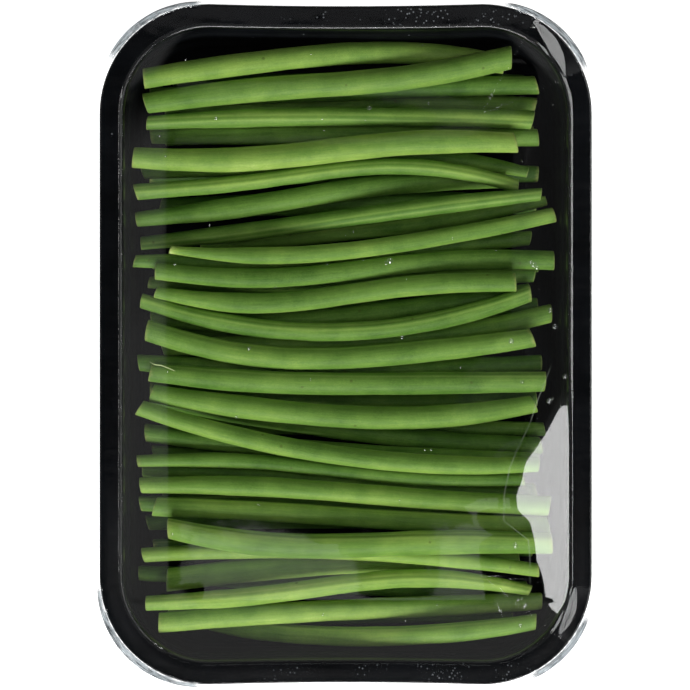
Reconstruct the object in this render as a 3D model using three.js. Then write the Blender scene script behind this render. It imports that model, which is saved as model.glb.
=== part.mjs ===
// A pack of trimmed fine green beans: a shallow black tray, 54 loose beans lying across it in three
// rough layers, and a clear film sealed to the tray's rim, which the highest beans push up.
// Millimetres. X runs along the beans, across the tray; Y along the tray; Z up from the surface that it
// stands on. The origin is the middle of the tray's footprint.
import * as THREE from "three";

// Tray: the outer edge is a rounded rectangle, and every other outline is that one taken in by an inset
const halfWidth = 68.5;
const halfLength = 94.7;
const cornerRadius = 30.5;
const waist = 0.6; // how far the film's pull draws in the middle of the two short sides
const rimTop = 25;
const rimInner = 6.5; // inset where the flat rim ends and the wall goes down
const floorTop = 3.4;
const skin = 0.8; // thickness of the tray's plastic
const skirtDepth = 2.2;
const edgeRound = 0.35;
const cornerSteps = 6;
const sideSteps = 3;

// Film: a little larger than the tray, with tighter corners, so that it stands out past the tray's corners
const filmOverhang = 0.7;
const filmCorner = 25;
const filmThickness = 0.5;
const filmGap = 0.3;
const filmRise = 2.2; // how much higher than on the rim the film is over the beans
const filmSlope = 11; // width over which it rises

// Beans
const beanSides = 8;
const beanBands = 9;
const beanGap = 0.36; // least space between two beans, and between a bean and the tray
const contactStations = 36; // places along a bean where its rest is tested
const bendLimit = 0.0017; // sharpest bend of a bean in the pile: mm of dip for each squared mm along it
const middleDrift = 0.75; // how far the beans may move sideways to lie lower
const topDrift = 0.25;
const eyeHeight = 900; // over the rim, where the beans' places were seen from
const driftStep = 0.25;
const greens = [0x5c8a33, 0x669438, 0x74a044, 0x4f7d2c];

// The top beans, in the order in which they come to lie: left end x, y; right end x, y; bow, the
// middle's distance from the straight line; sway, the height of an S on it; width; and how thin the
// left and right ends are beside that width
const topBeans = [
  [-56.2, 73.8, 44.5, 78.5, 4.6, -0.8, 6.3, 0.92, 0.9],
  [-56.5, 67.5, 46.9, 80.5, -1.3, 1.0, 6.8, 0.85, 0.95],
  [-55.6, 61.8, 52.6, 62.7, 1.3, 0.1, 5.4, 0.75, 1],
  [-58.4, 35.0, 44.6, 45.7, 1.7, -1.0, 6.0, 0.7, 0.7],
  [-59.1, 42.3, 48.4, 43.9, 5.1, -1.9, 4.7, 1, 0.84],
  [-59.5, 51.8, 48.2, 55.9, -0.4, -1.4, 6.8, 0.85, 0.83],
  [-40.6, 28.8, 55.7, 40.1, -2.5, 0, 4.5, 0.7, 0.65],
  [-57.4, 28.5, 54.5, 41.8, 0, -0.3, 5.2, 0.75, 0.7],
  [-53.0, 20.6, 58.2, 23.6, -1.3, -1.8, 5.5, 0.88, 0.98],
  [-49.0, 26.0, 58.4, 36.0, -4.8, -0.6, 4.8, 0.45, 0.9],
  [-57.2, 12.0, 52.0, 14.2, -10.0, 0, 5.4, 0.8, 0.9],
  [-53.2, 14.3, 47.4, 17.0, -2.5, -1.9, 5.8, 0.55, 0.9],
  [-55.8, 4.3, 52.6, 2.2, -6.9, -1.1, 6.3, 0.95, 0.85],
  [-54.6, -7.4, 55.8, -10.1, -2.0, -0.4, 6.4, 0.85, 0.9],
  [-54.3, -13.8, 53.2, -16.8, -5.1, 0.5, 6.4, 0.8, 0.8],
  [-58.2, -32.8, 49.8, -37.8, 0.3, 1.2, 4.3, 0.8, 0.9],
  [-58.0, -17.2, 54.0, -33.1, -5.5, -0.1, 5.4, 0.85, 0.78],
  [-53.9, -44.9, 57.0, -50.1, -0.3, 0.4, 5.6, 0.97, 0.88],
  [-57.5, -39.1, 57.0, -44.7, 1.0, 0.6, 5.7, 0.78, 1],
  [-50.2, -65.3, 48.5, -59.5, 2.0, 0, 6.8, 0.95, 0.8],
  [-56.9, -59.1, 54.0, -63.2, 3.2, 0, 4.5, 0.92, 0.85],
  [-50.1, -51.4, 57.6, -55.7, -2.6, -1.3, 7.0, 0.82, 0.86],
  [-50.3, -75.2, 53.2, -77.0, -5.5, -0.3, 5.6, 0.65, 0.82],
  [-52.4, -77.8, 55.2, -72.4, 0.6, 0.3, 6.0, 0.95, 0.8],
  [-55.6, -72.2, 51.9, -69.2, 3.6, -1.7, 5.4, 0.8, 0.6],
];

// The beans that show between and beyond those, one layer down, in the same terms
const middleBeans = [
  [-54.5, 7.3, 51.3, 14.8, -3.5, -0.5, 5.7, 0.8, 0.8],
  [-48.9, -21.1, 55.7, -23.6, -0.7, -0.1, 5.2, 0.8, 0.75],
  [-59.0, 22.3, 52.1, 29.0, -1.7, -0.3, 5.4, 0.65, 0.75],
  [-50.3, 65.2, 53.2, 67.1, 1.5, -0.3, 5.6, 0.8, 0.82],
  [-55.3, 16.8, 52.9, 18.7, -0.7, -0.2, 5.6, 0.6, 0.7],
  [-51.7, -0.2, 57.7, 9.5, -3.2, 0.8, 5.8, 0.8, 0.88],
  [-58.1, -4.4, 54.6, -4.4, -1.9, 0.0, 5.8, 0.8, 0.78],
  [-57.2, 47.4, 50.7, 47.1, 3.8, -1.3, 5.6, 0.8, 0.55],
  [-54.5, 69.1, 53.8, 72.1, -0.1, -0.2, 5.8, 0.85, 0.9],
  [-54.5, -12.2, 53.2, -14.7, -1.8, 0.3, 5.8, 0.85, 0.8],
  [-57.6, -64.2, 51.3, -68.9, -0.7, 0.3, 5.8, 0.72, 0.8],
  [-54.5, -15.5, 54.9, -28.6, -2.4, 0.3, 5.6, 0.8, 0.85],
  [-54.5, 57.4, 53.8, 56.8, 0.3, 0.1, 5.8, 0.8, 0.85],
  [-56.4, -23.9, 52.6, -31.4, -1.8, 0.1, 5.8, 0.88, 0.8],
  [-56.7, -35.5, 51.3, -42.5, -0.4, 0.5, 5.4, 0.8, 0.8],
  [-57.6, -43.9, 55.4, -47.2, 0.6, 0.4, 5.8, 0.75, 0.9],
];

// The bottom layer isn't seen: beans along the tray at these distances, each with a little scatter, and
// fewer where those above lie deep
const bottomPlaces = [-75.5, -56, -48.7, -40.7, -30.6, -7.2, 2.3, 10.3, 22.3, 38, 46.8, 58.5, 73];
const bottomLength = 107;
const bottomWidth = 6;

let seed = 20240;
const random = () => {
  seed = (seed * 1664525 + 1013904223) % 4294967296;
  return seed / 4294967296;
};
const spread = (range) => (random() * 2 - 1) * range;
const mix = (a, b, t) => a + (b - a) * t;
const smooth = (t) => {
  const s = Math.min(Math.max(t, 0), 1);
  return s * s * (3 - 2 * s);
};

const bottomBeans = bottomPlaces.map((y) => {
  const half = (bottomLength / 2 + spread(2)) * (Math.abs(y) > 70 ? 0.92 : 1);
  const middle = spread(1.5);
  const ends = [y + spread(1.2), y + spread(1.2)];
  const [bow, sway, width] = [spread(1.2), spread(0.6), bottomWidth + spread(0.5)];
  const thin = [mix(0.65, 0.9, random()), mix(0.65, 0.9, random())];
  return [middle - half, ends[0], middle + half, ends[1], bow, sway, width, ...thin];
});

// Points of a rounded rectangle taken in by an inset, anticlockwise from above. The short sides' middles
// are drawn in by the waist.
function outline(inset, corner = cornerRadius - inset) {
  const points = [];
  const [a, b] = [halfWidth - inset - corner, halfLength - inset - corner];
  const corners = [[a, b], [-a, b], [-a, -b], [a, -b]];
  corners.forEach(([cx, cy], k) => {
    const arc = new THREE.EllipseCurve(cx, cy, corner, corner, (k * Math.PI) / 2, ((k + 1) * Math.PI) / 2);
    points.push(...arc.getPoints(cornerSteps));
    const next = new THREE.EllipseCurve(...corners[(k + 1) % 4], corner, corner, ((k + 1) * Math.PI) / 2, 7);
    const side = new THREE.LineCurve(arc.getPoint(1), next.getPoint(0));
    points.push(...side.getPoints(sideSteps).slice(1, -1));
  });
  return points.map((p) => {
    const pull = waist * Math.max(0, 1 - (p.x / (halfWidth - cornerRadius)) ** 2);
    return new THREE.Vector2(p.x, p.y - Math.sign(p.y) * pull * (Math.abs(p.y) / halfLength) ** 4);
  });
}

// A closed solid through a list of outlines, each with its height, closed by a flat face at each end
function loft(rings) {
  const count = rings[0].points.length;
  const positions = [];
  const index = [];
  for (const { points, z } of rings) for (const p of points) positions.push(p.x, p.y, z);
  for (let r = 0; r < rings.length - 1; r++) {
    for (let i = 0; i < count; i++) {
      const [a, b] = [r * count + i, r * count + ((i + 1) % count)];
      index.push(a, b, b + count, a, b + count, a + count);
    }
  }
  for (const [r, facing] of [[0, 1], [rings.length - 1, 0]]) {
    const centre = positions.length / 3;
    positions.push(0, 0, rings[r].z);
    for (let i = 0; i < count; i++) {
      const [a, b] = [r * count + i, r * count + ((i + 1) % count)];
      index.push(centre, facing ? b : a, facing ? a : b);
    }
  }
  return new THREE.BufferGeometry()
    .setAttribute("position", new THREE.Float32BufferAttribute(positions, 3))
    .setIndex(index);
}

// The tray's section as inset and height: up the outside from the raised middle of the underside, over
// the rim, and down the inside
const underside = floorTop - skin;
const outerSection = [
  [19.4, underside],
  [18.0, 0],
  [12.2, 0],
  [10.1, 1.3],
  [9.1, 4.2],
  [8.3, 10.8],
  [7.55, rimTop - 6.3],
  [6.65, rimTop - 5.3],
  [6.25, rimTop - 1.8],
  [5.8, rimTop - skin],
  [skin, rimTop - skin],
  [skin, rimTop - skirtDepth],
  [0, rimTop - skirtDepth],
  [0, rimTop - edgeRound],
  [edgeRound, rimTop],
];
const innerSection = [
  [rimInner - 0.5, rimTop],
  [rimInner, rimTop - 0.25],
  [rimInner + 0.5, rimTop - 1.5],
  [7.4, rimTop - 4.8],
  [8.3, rimTop - 5.8],
  [9.1, 11],
  [9.9, 4.6],
  [10.9, 2.2],
  [12.7, skin],
  [17.6, skin],
  [19.0, floorTop],
];

function makeTray() {
  return loft([...outerSection, ...innerSection].map(([inset, z]) => ({ points: outline(inset), z })));
}

// Height of the film's upper face at an inset: level on the rim, then rising over the beans
const filmHeight = (inset) =>
  rimTop + filmGap + filmThickness + filmRise * smooth((inset - rimInner) / filmSlope);

function makeFilm() {
  const insets = [0.9, rimInner, 8.5, 10.5, 12, 13.5, 15.5, rimInner + filmSlope];
  const edge = outline(-filmOverhang, filmCorner);
  const under = insets.map((d) => ({ points: outline(d), z: filmHeight(d) - filmThickness })).reverse();
  const over = insets.map((d) => ({ points: outline(d), z: filmHeight(d) }));
  const rim = [filmHeight(0) - filmThickness, filmHeight(0)].map((z) => ({ points: edge, z }));
  return loft([...under, ...rim, ...over]);
}

// How far inside the tray's outer edge a point lies
function insetAt(x, y) {
  const dx = Math.abs(x) - (halfWidth - cornerRadius);
  const dy = Math.abs(y) - (halfLength - cornerRadius);
  if (dx > 0 && dy > 0) return cornerRadius - Math.hypot(dx, dy);
  return cornerRadius - Math.max(dx, dy);
}

// Height of the tray's inner surface under a point
function trayHeight(x, y) {
  const inset = insetAt(x, y);
  for (let i = 1; i < innerSection.length; i++) {
    const [d0, z0] = innerSection[i - 1];
    const [d1, z1] = innerSection[i];
    if (inset < d1) return mix(z0, z1, Math.max(0, (inset - d0) / (d1 - d0)));
  }
  return floorTop;
}

// A bean's centreline and radius at u, which runs from -1 at its left end to 1 at its right
function beanFrom([x0, y0, x1, y1, bow, sway, width, thinLeft, thinRight]) {
  const at = (u) => mix(x0, x1, (u + 1) / 2);
  const across = (u) => mix(y0, y1, (u + 1) / 2) + bow * (1 - u * u) - sway * Math.sin(Math.PI * u);
  const slope = (u) => (across(u + 0.01) - across(u - 0.01)) / (0.01 * (x1 - x0));
  const thin = (u) => mix(u < 0 ? thinLeft : thinRight, 1, smooth((1 - Math.abs(u)) / 0.45));
  return { x0, x1, at, across, slope, radius: (u) => (width / 2) * thin(u), height: () => 0 };
}

// The least height at which a bean's centre clears the tray and the beans already lying there
function leastHeight(bean, u, lying) {
  const [x, y, r, s] = [bean.at(u), bean.across(u), bean.radius(u), bean.slope(u)];
  let least = -Infinity;
  for (let angle = 0; angle <= Math.PI; angle += Math.PI / 8) {
    const side = y + (r + beanGap) * Math.cos(angle);
    least = Math.max(least, trayHeight(x, side) + (r + beanGap) * Math.sin(angle));
  }
  for (const other of lying) {
    const v = ((x - other.x0) / (other.x1 - other.x0)) * 2 - 1;
    if (Math.abs(v) > 1.03) continue;
    const apart = Math.abs(y - other.across(v)) * Math.cos(Math.atan((s + other.slope(v)) / 2));
    const reach = r + other.radius(v) + beanGap;
    if (apart < reach) least = Math.max(least, other.height(v) + Math.sqrt(reach * reach - apart * apart));
  }
  return least;
}

// The lowest curve over a list of heights that bends down and up no more sharply than a bean does
function drape(places, least) {
  const over = places.map((x) => Math.max(...places.map((p, i) => least[i] - bendLimit * (x - p) ** 2)));
  const bowls = [];
  for (let c = -140; c <= 140; c += 2) {
    bowls.push([c, Math.max(...places.map((p, i) => over[i] - bendLimit * (p - c) ** 2))]);
  }
  return places.map((x) => Math.min(...bowls.map(([c, low]) => low + bendLimit * (x - c) ** 2)));
}

// A bean below the rim looks nearer to the middle than it lies: this moves its ends back out
function asItLies([x0, y0, x1, y1, ...rest], height) {
  const scale = 1 + (rimTop - height) / eyeHeight;
  return [x0 * scale, y0 * scale, x1 * scale, y1 * scale, ...rest];
}

// Lets a bean down until it rests, after moving it sideways by no more than its drift to where it lies
// lowest. This is done twice, because where it lies depends a little on its height.
function settle(row, drift, lying) {
  let best;
  let height = 14;
  for (let pass = 0; pass < 2; pass++) {
    const [x0, y0, x1, y1, ...rest] = asItLies(row, height);
    best = { score: Infinity };
    for (let shift = -drift; shift <= drift; shift += driftStep) {
      const bean = beanFrom([x0, y0 + shift, x1, y1 + shift, ...rest]);
      const stations = Array.from({ length: contactStations + 1 }, (_, i) => (i / contactStations) * 2 - 1);
      const places = stations.map(bean.at);
      const curve = drape(places, stations.map((u) => leastHeight(bean, u, lying)));
      const mean = curve.reduce((sum, z) => sum + z, 0) / curve.length;
      const score = mean + 0.05 * Math.abs(shift);
      if (score < best.score) best = { score, mean, bean, curve };
    }
    height = best.mean;
  }
  const { bean, curve } = best;
  bean.height = (u) => {
    const t = Math.min(Math.max((u + 1) / 2, -0.03), 1.03) * contactStations;
    const i = Math.min(Math.max(Math.floor(t), 0), contactStations - 1);
    return mix(curve[i], curve[i + 1], t - i);
  };
  lying.push(bean);
}

// A bean's solid: a lathed pod with flat cut ends, each of its rings then moved to the centreline and
// turned square to it. The end rings are cut a little aslant.
function makeBean(bean) {
  const profile = [new THREE.Vector2(0, -1)];
  for (let i = 0; i <= beanBands; i++) profile.push(new THREE.Vector2(1, (i / beanBands) * 2 - 1));
  profile.push(new THREE.Vector2(0, 1));
  const geometry = new THREE.LatheGeometry(profile, beanSides).rotateZ(-Math.PI / 2);
  const cuts = [0, 1].map(() => ({ tilt: 0.03 + random() * 0.25, side: random() < 0.5 ? -1 : 1 }));
  const position = geometry.getAttribute("position");
  const point = new THREE.Vector3();
  for (let i = 0; i < position.count; i++) {
    point.fromBufferAttribute(position, i);
    const u = point.x;
    const { tilt, side } = cuts[u < 0 ? 0 : 1];
    const cut = Math.abs(u) > 0.999 ? -u * tilt * (1 + side * point.y) : 0;
    const rise = (bean.height(u + 0.01) - bean.height(u - 0.01)) / (0.01 * (bean.x1 - bean.x0));
    const along = new THREE.Vector3(1, bean.slope(u), rise).normalize();
    const sideways = new THREE.Vector3(0, 0, 1).cross(along).normalize();
    const up = along.clone().cross(sideways);
    const r = bean.radius(u);
    const place = new THREE.Vector3(bean.at(u), bean.across(u), bean.height(u))
      .addScaledVector(sideways, point.y * r)
      .addScaledVector(up, point.z * r)
      .addScaledVector(along, cut * r);
    position.setXYZ(i, place.x, place.y, place.z);
  }
  return geometry;
}

const pack = new THREE.Group();
function addPiece(name, geometry, color, roughness, extra = {}) {
  geometry.deleteAttribute("normal");
  geometry.deleteAttribute("uv");
  geometry.computeVertexNormals();
  const material = new THREE.MeshStandardMaterial({ color, roughness, metalness: 0, ...extra });
  const mesh = new THREE.Mesh(geometry, material);
  mesh.name = name;
  pack.add(mesh);
}

addPiece("tray", makeTray(), 0x0c0d0f, 0.22);
const lying = [];
for (const row of bottomBeans) settle(row, 0, lying);
for (const row of middleBeans) settle(row, middleDrift, lying);
for (const row of topBeans) settle(row, topDrift, lying);
lying.forEach((bean, i) => {
  addPiece(`bean_${String(i + 1).padStart(2, "0")}`, makeBean(bean), greens[i % greens.length], 0.5);
});
addPiece("film", makeFilm(), 0xf4f8fa, 0.06, { transparent: true, opacity: 0.15 });

export default pack;
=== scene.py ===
import math
import bpy
import numpy as np
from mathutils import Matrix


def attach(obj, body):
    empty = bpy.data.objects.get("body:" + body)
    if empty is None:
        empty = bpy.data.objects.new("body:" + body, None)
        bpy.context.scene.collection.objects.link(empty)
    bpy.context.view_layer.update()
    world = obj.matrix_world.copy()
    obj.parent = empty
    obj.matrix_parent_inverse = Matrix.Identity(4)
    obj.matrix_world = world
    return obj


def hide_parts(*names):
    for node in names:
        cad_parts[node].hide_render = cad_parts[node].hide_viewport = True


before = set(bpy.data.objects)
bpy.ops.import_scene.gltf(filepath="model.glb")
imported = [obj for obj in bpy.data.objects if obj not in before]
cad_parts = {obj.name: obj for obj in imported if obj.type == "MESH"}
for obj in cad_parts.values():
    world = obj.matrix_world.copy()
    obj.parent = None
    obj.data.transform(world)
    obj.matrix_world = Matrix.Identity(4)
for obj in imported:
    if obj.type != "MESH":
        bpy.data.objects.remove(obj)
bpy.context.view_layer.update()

# A sealed tray of trimmed fine green beans, seen from straight above.
# Sizes below are millimetres, and become metres when a mesh is made.
# X runs along the beans, Y along the tray, Z up from the table.


def linearColour(hexCode):
    # sRGB hex to linear light, with full alpha
    parts = [int(hexCode[i:i + 2], 16) / 255 for i in (0, 2, 4)]
    return [c / 12.92 if c <= 0.04045 else ((c + 0.055) / 1.055) ** 2.4 for c in parts] + [1.0]


def smoothStep(t):
    t = np.clip(t, 0, 1)
    return t * t * (3 - 2 * t)


def ease(value, begin, end):
    # 0 up to the one value and 1 from the other on, with a soft change between
    return smoothStep((value - begin) / (end - begin))


def waves(x, y, seed, sizes, count=5):
    # a sum of plane waves in random directions, from -1 to 1, with wavelengths between two sizes in mm
    pick = np.random.default_rng(seed)
    turns = pick.uniform(0, math.pi, count)
    lengths = pick.uniform(*sizes, count)
    phases = pick.uniform(0, 6.3, count)
    total = np.zeros(np.broadcast(x, y).shape)
    for turn, length, phase in zip(turns, lengths, phases):
        across = x * math.cos(turn) + y * math.sin(turn)
        total = total + np.sin(across * 2 * math.pi / length + phase)
    return total / count


def gridFaces(rows, columns, wrap=True):
    # quads between neighbouring rows and columns of a grid, where the last column may meet the first
    r = np.arange(rows - 1)[:, None]
    c = np.arange(columns if wrap else columns - 1)[None, :]
    n = (c + 1) % columns
    corners = [r * columns + c, r * columns + n, (r + 1) * columns + n, (r + 1) * columns + c]
    return np.stack(corners, axis=-1).reshape(-1, 4).tolist()


def fanFaces(first, columns, pole, flipped=False):
    # triangles between a ring of corners, numbered from the first, and the one corner in its middle
    here = first + np.arange(columns)
    there = first + (np.arange(columns) + 1) % columns
    if flipped:
        here, there = there, here
    return np.stack([here, there, np.full(columns, pole)], axis=1).tolist()


def circle(count):
    return np.linspace(0, 2 * math.pi, count, endpoint=False)[None, :]


def makePiece(name, points, faces, materials, node=None, faceMaterial=None):
    # a mesh object from points in mm, riding on the one body, in the place of a CAD node if one is named
    mesh = bpy.data.meshes.new(name)
    mesh.from_pydata((np.asarray(points) * 0.001).tolist(), [], faces)
    mesh.polygons.foreach_set("use_smooth", [True] * len(faces))
    for material in materials:
        mesh.materials.append(material)
    if faceMaterial is not None:
        mesh.polygons.foreach_set("material_index", np.asarray(faceMaterial, dtype=np.int32))
    mesh.update()
    piece = bpy.data.objects.new(name, mesh)
    bpy.context.scene.collection.objects.link(piece)
    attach(piece, "root")
    if node:
        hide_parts(node)
    return piece


def addAttribute(piece, name, values):
    # one number, or one vector, for each vertex
    kind = "FLOAT_VECTOR" if np.ndim(values) == 2 else "FLOAT"
    layer = piece.data.attributes.new(name, kind, "POINT")
    layer.data.foreach_set("vector" if kind == "FLOAT_VECTOR" else "value",
        np.asarray(values, dtype=np.float32).ravel())


def addNode(material, kind, inputs=None, stops=None, **settings):
    # one shader node: its settings, then each input as a value or as a link from another node's socket
    tree = material.node_tree
    node = tree.nodes.new("ShaderNode" + kind)
    for name, value in settings.items():
        setattr(node, name, value)
    for number, (position, hexCode) in enumerate(stops or []):
        ends = node.color_ramp.elements
        if number == 0:
            stop = ends[0]
        elif number == len(stops) - 1:
            stop = ends[len(ends) - 1]
        else:
            stop = ends.new(position)
        stop.position, stop.color = position, linearColour(hexCode)
    for name, value in (inputs or {}).items():
        if isinstance(value, bpy.types.NodeSocket):
            tree.links.new(value, node.inputs[name])
        else:
            node.inputs[name].default_value = value
    return node


def readValue(material, name, kind="Fac"):
    # what addAttribute stored on the mesh
    return addNode(material, "Attribute", attribute_name=name).outputs[kind]


def maths(material, operation, first, second=0.5):
    return addNode(material, "Math", {0: first, 1: second}, operation=operation).outputs[0]


def remap(material, value, span, result=(0.0, 1.0), smooth=False):
    # a value carried from one span to another and held at both ends
    low, high = result
    inputs = {"Value": value, "From Min": span[0], "From Max": span[1], "To Min": low, "To Max": high}
    kind = "SMOOTHSTEP" if smooth else "LINEAR"
    return addNode(material, "MapRange", inputs, interpolation_type=kind).outputs[0]


def noise(material, place, scale, detail=2.0, roughness=0.5, distortion=0.0):
    # the scale counts patches to the metre
    inputs = {"Vector": place, "Scale": scale, "Detail": detail, "Roughness": roughness,
        "Distortion": distortion}
    return addNode(material, "TexNoise", inputs).outputs["Fac"]


def mixed(material, share, first, second):
    # two colours, each a socket or a hex code
    first, second = [linearColour(c) if isinstance(c, str) else c for c in (first, second)]
    return addNode(material, "MixRGB", {"Fac": share, "Color1": first, "Color2": second}).outputs[0]


def mixedShaders(material, share, first, second):
    return addNode(material, "MixShader", {0: share, 1: first, 2: second}).outputs[0]


def bump(material, height, strength, distance, under=None):
    # the distance is the relief in metres of a height of one
    inputs = {"Height": height, "Strength": strength, "Distance": distance}
    if under is not None:
        inputs["Normal"] = under
    return addNode(material, "Bump", inputs).outputs[0]


def newMaterial(name, preview):
    material = bpy.data.materials.new(name)
    material.use_nodes = True
    material.node_tree.nodes.clear()
    material.diffuse_color = linearColour(preview)
    return material


def finish(material, shader):
    addNode(material, "OutputMaterial", {"Surface": shader})
    return material


# ---- Materials


podSkin = {
    "darkest": "2c4b19", "dark": "496e27", "middle": "6b903d", "light": "90af50", "palest": "bacf78",
    "mottleSize": 9.0,  # mm, cloudy patches
    "streakWidth": 0.5, "streakLength": 9.0,  # mm, the skin's lengthwise fibres
    "stippleSize": 0.35,  # mm, breathing pores and fine hairs, drawn as coarse as they need to show
    "roughness": 0.50, "specular": 0.21,
    # the seam's line, and the painted highlight beside it
    "seam": "3a641c", "seamShare": 0.42, "seamHighlight": "a9c46a", "seamHighlightShare": 0.20,
    "dry": "9aa35c", "dryShare": 0.85,  # skin beside a cut
    "fleck": "4d5a22", "fleckShare": 0.6, "fleckDensity": 130.0,  # small rust flecks, cells to the metre
    "fibreRelief": 0.00016, "stippleRelief": 0.00008,  # metres
}


def makePodSkin():
    # Bean pod: a waxy, faintly fibrous plant skin over moist flesh. It gives a soft, broad highlight, cloudy
    # patches of lighter and darker green, and fine lengthwise streaks.
    m = newMaterial("podSkin", podSkin["middle"])
    place = readValue(m, "podPlace", "Vector")
    # each bean's own tone, with painted shade that darkens the beans lower in the pile
    tone = readValue(m, "podToneAndShade")
    nearEnd = readValue(m, "podEnd")
    mottle = noise(m, place, 1000 / podSkin["mottleSize"], 4.0, 0.6)
    squeeze = podSkin["streakWidth"] / podSkin["streakLength"]
    stretched = addNode(m, "Mapping", {"Vector": place, "Scale": (squeeze, 1, 1)})
    streak = noise(m, stretched.outputs[0], 1000 / podSkin["streakWidth"], 3.0, 0.65)
    stipple = noise(m, place, 1000 / podSkin["stippleSize"], 2.0)
    patch = remap(m, mottle, (0.3, 0.7), (-0.10, 0.10))
    fibre = remap(m, streak, (0.3, 0.7), (-0.06, 0.06))
    speck = remap(m, stipple, (0.3, 0.7), (-0.05, 0.05))
    sumOne = maths(m, "ADD", tone, patch)
    sumTwo = maths(m, "ADD", sumOne, fibre)
    sumThree = maths(m, "ADD", sumTwo, speck)
    green = addNode(m, "ValToRGB", {"Fac": sumThree}, stops=[
        (0.0, podSkin["darkest"]), (0.25, podSkin["dark"]), (0.5, podSkin["middle"]),
        (0.78, podSkin["light"]), (1.0, podSkin["palest"])])
    # the seam where the pod's halves meet: a thin line, with a painted highlight on each side where its ridge
    # catches the light. Its place is in metres across the skin, and the other seam, on the far side, is left
    # out
    apart = addNode(m, "SeparateXYZ", {"Vector": place})
    side = maths(m, "ABSOLUTE", apart.outputs["Z"])
    onSeam = maths(m, "GREATER_THAN", apart.outputs["Y"], 0.0012)
    groove = remap(m, side, (0.0001, 0.00055), (podSkin["seamShare"], 0.0), smooth=True)
    line = maths(m, "MULTIPLY", groove, onSeam)
    # painted highlight: a paler band on each side of the seam
    inner = remap(m, side, (0.0004, 0.0007), (0.0, podSkin["seamHighlightShare"]))
    outer = remap(m, side, (0.0008, 0.0012), (1.0, 0.0))
    band = maths(m, "MULTIPLY", inner, outer)
    seamHighlightLine = maths(m, "MULTIPLY", band, onSeam)
    seamHighlighted = mixed(m, seamHighlightLine, green.outputs[0], podSkin["seamHighlight"])
    lined = mixed(m, line, seamHighlighted, podSkin["seam"])
    # the skin dries to a straw colour where it was cut
    dryNoise = noise(m, place, 900.0, 3.0)
    dryEdge = maths(m, "MULTIPLY", nearEnd, dryNoise)
    dryAmount = remap(m, dryEdge, (0.25, 0.62), (0.0, podSkin["dryShare"]))
    dried = mixed(m, dryAmount, lined, podSkin["dry"])
    flecks = addNode(m, "TexVoronoi", {"Vector": place, "Scale": podSkin["fleckDensity"]})
    fleck = remap(m, flecks.outputs["Distance"], (0.035, 0.075), (podSkin["fleckShare"], 0.0))
    flecked = mixed(m, fleck, dried, podSkin["fleck"])
    gloss = remap(m, mottle, (0.3, 0.7), (podSkin["roughness"] - 0.03, podSkin["roughness"] + 0.04))
    bumpFibre = bump(m, streak, 0.45, podSkin["fibreRelief"])
    bumpSpeck = bump(m, stipple, 0.40, podSkin["stippleRelief"], bumpFibre)
    skin = addNode(m, "BsdfPrincipled", {
        "Base Color": flecked, "Roughness": gloss, "Normal": bumpSpeck,
        "IOR": 1.42, "Specular IOR Level": podSkin["specular"],
        "Subsurface Weight": 0.12, "Subsurface Radius": (0.6, 1.0, 0.25), "Subsurface Scale": 0.0012})
    return finish(m, skin.outputs[0])


podFlesh = {"flesh": "b9cb8c", "core": "8fae5c", "rim": "7d9a4d", "shaded": "8aa45a", "grain": 0.5}


def makePodFlesh():
    # Cut flesh: pale, wet cells a little glossy, darker towards the seed hollow, drying at the rim
    m = newMaterial("podFlesh", podFlesh["flesh"])
    place = readValue(m, "podPlace", "Vector")
    tone = readValue(m, "podToneAndShade")
    depth = readValue(m, "podEnd")
    grain = {"Vector": place, "Scale": 1000 / podFlesh["grain"], "Detail": 3.0, "Roughness": 0.7}
    cells = addNode(m, "TexNoise", grain)
    ring = addNode(m, "ValToRGB", {"Fac": depth}, stops=[
        (0.0, podFlesh["core"]), (0.35, podFlesh["flesh"]), (0.8, podFlesh["flesh"]), (1.0, podFlesh["rim"])])
    colours = {"Fac": 0.35, "Color1": ring.outputs[0], "Color2": cells.outputs["Color"]}
    grained = addNode(m, "MixRGB", colours, blend_type="SOFT_LIGHT")
    # partly the bean's own tone, partly painted shade: the flesh turns to the shaded colour as the tone
    # falls, so the deeper beans' ends are darker
    toned = mixed(m, tone, podFlesh["shaded"], grained.outputs[0])
    rough = bump(m, cells.outputs["Fac"], 0.5, 0.0002)
    flesh = addNode(m, "BsdfPrincipled", {
        "Base Color": toned, "Roughness": 0.35, "Normal": rough, "IOR": 1.38})
    return finish(m, flesh.outputs[0])


trayPlastic = {
    "colour": "050607", "sheen": "101215", "mark": "8b9094",
    "roughness": 0.11, "scuffRoughness": 0.08, "wallRoughness": 0.30,  # scuffs and walls add to the first
    "rimShine": 0.5, "wallShine": 0.07,
    "wallTop": (0.0225, 0.0242),  # metres of height within which the walls' texture ends
    "dustSpacing": 6.4, "sealSpacing": 1.1,  # mm
    # metres from the tray's middle: where the seal's flecks begin and end along Y and X, and their middle's X
    "sealInner": (0.0885, 0.0895), "sealOuter": (0.0930, 0.0940), "sealEnds": (0.020, 0.042), "sealX": 0.016,
}


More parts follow.
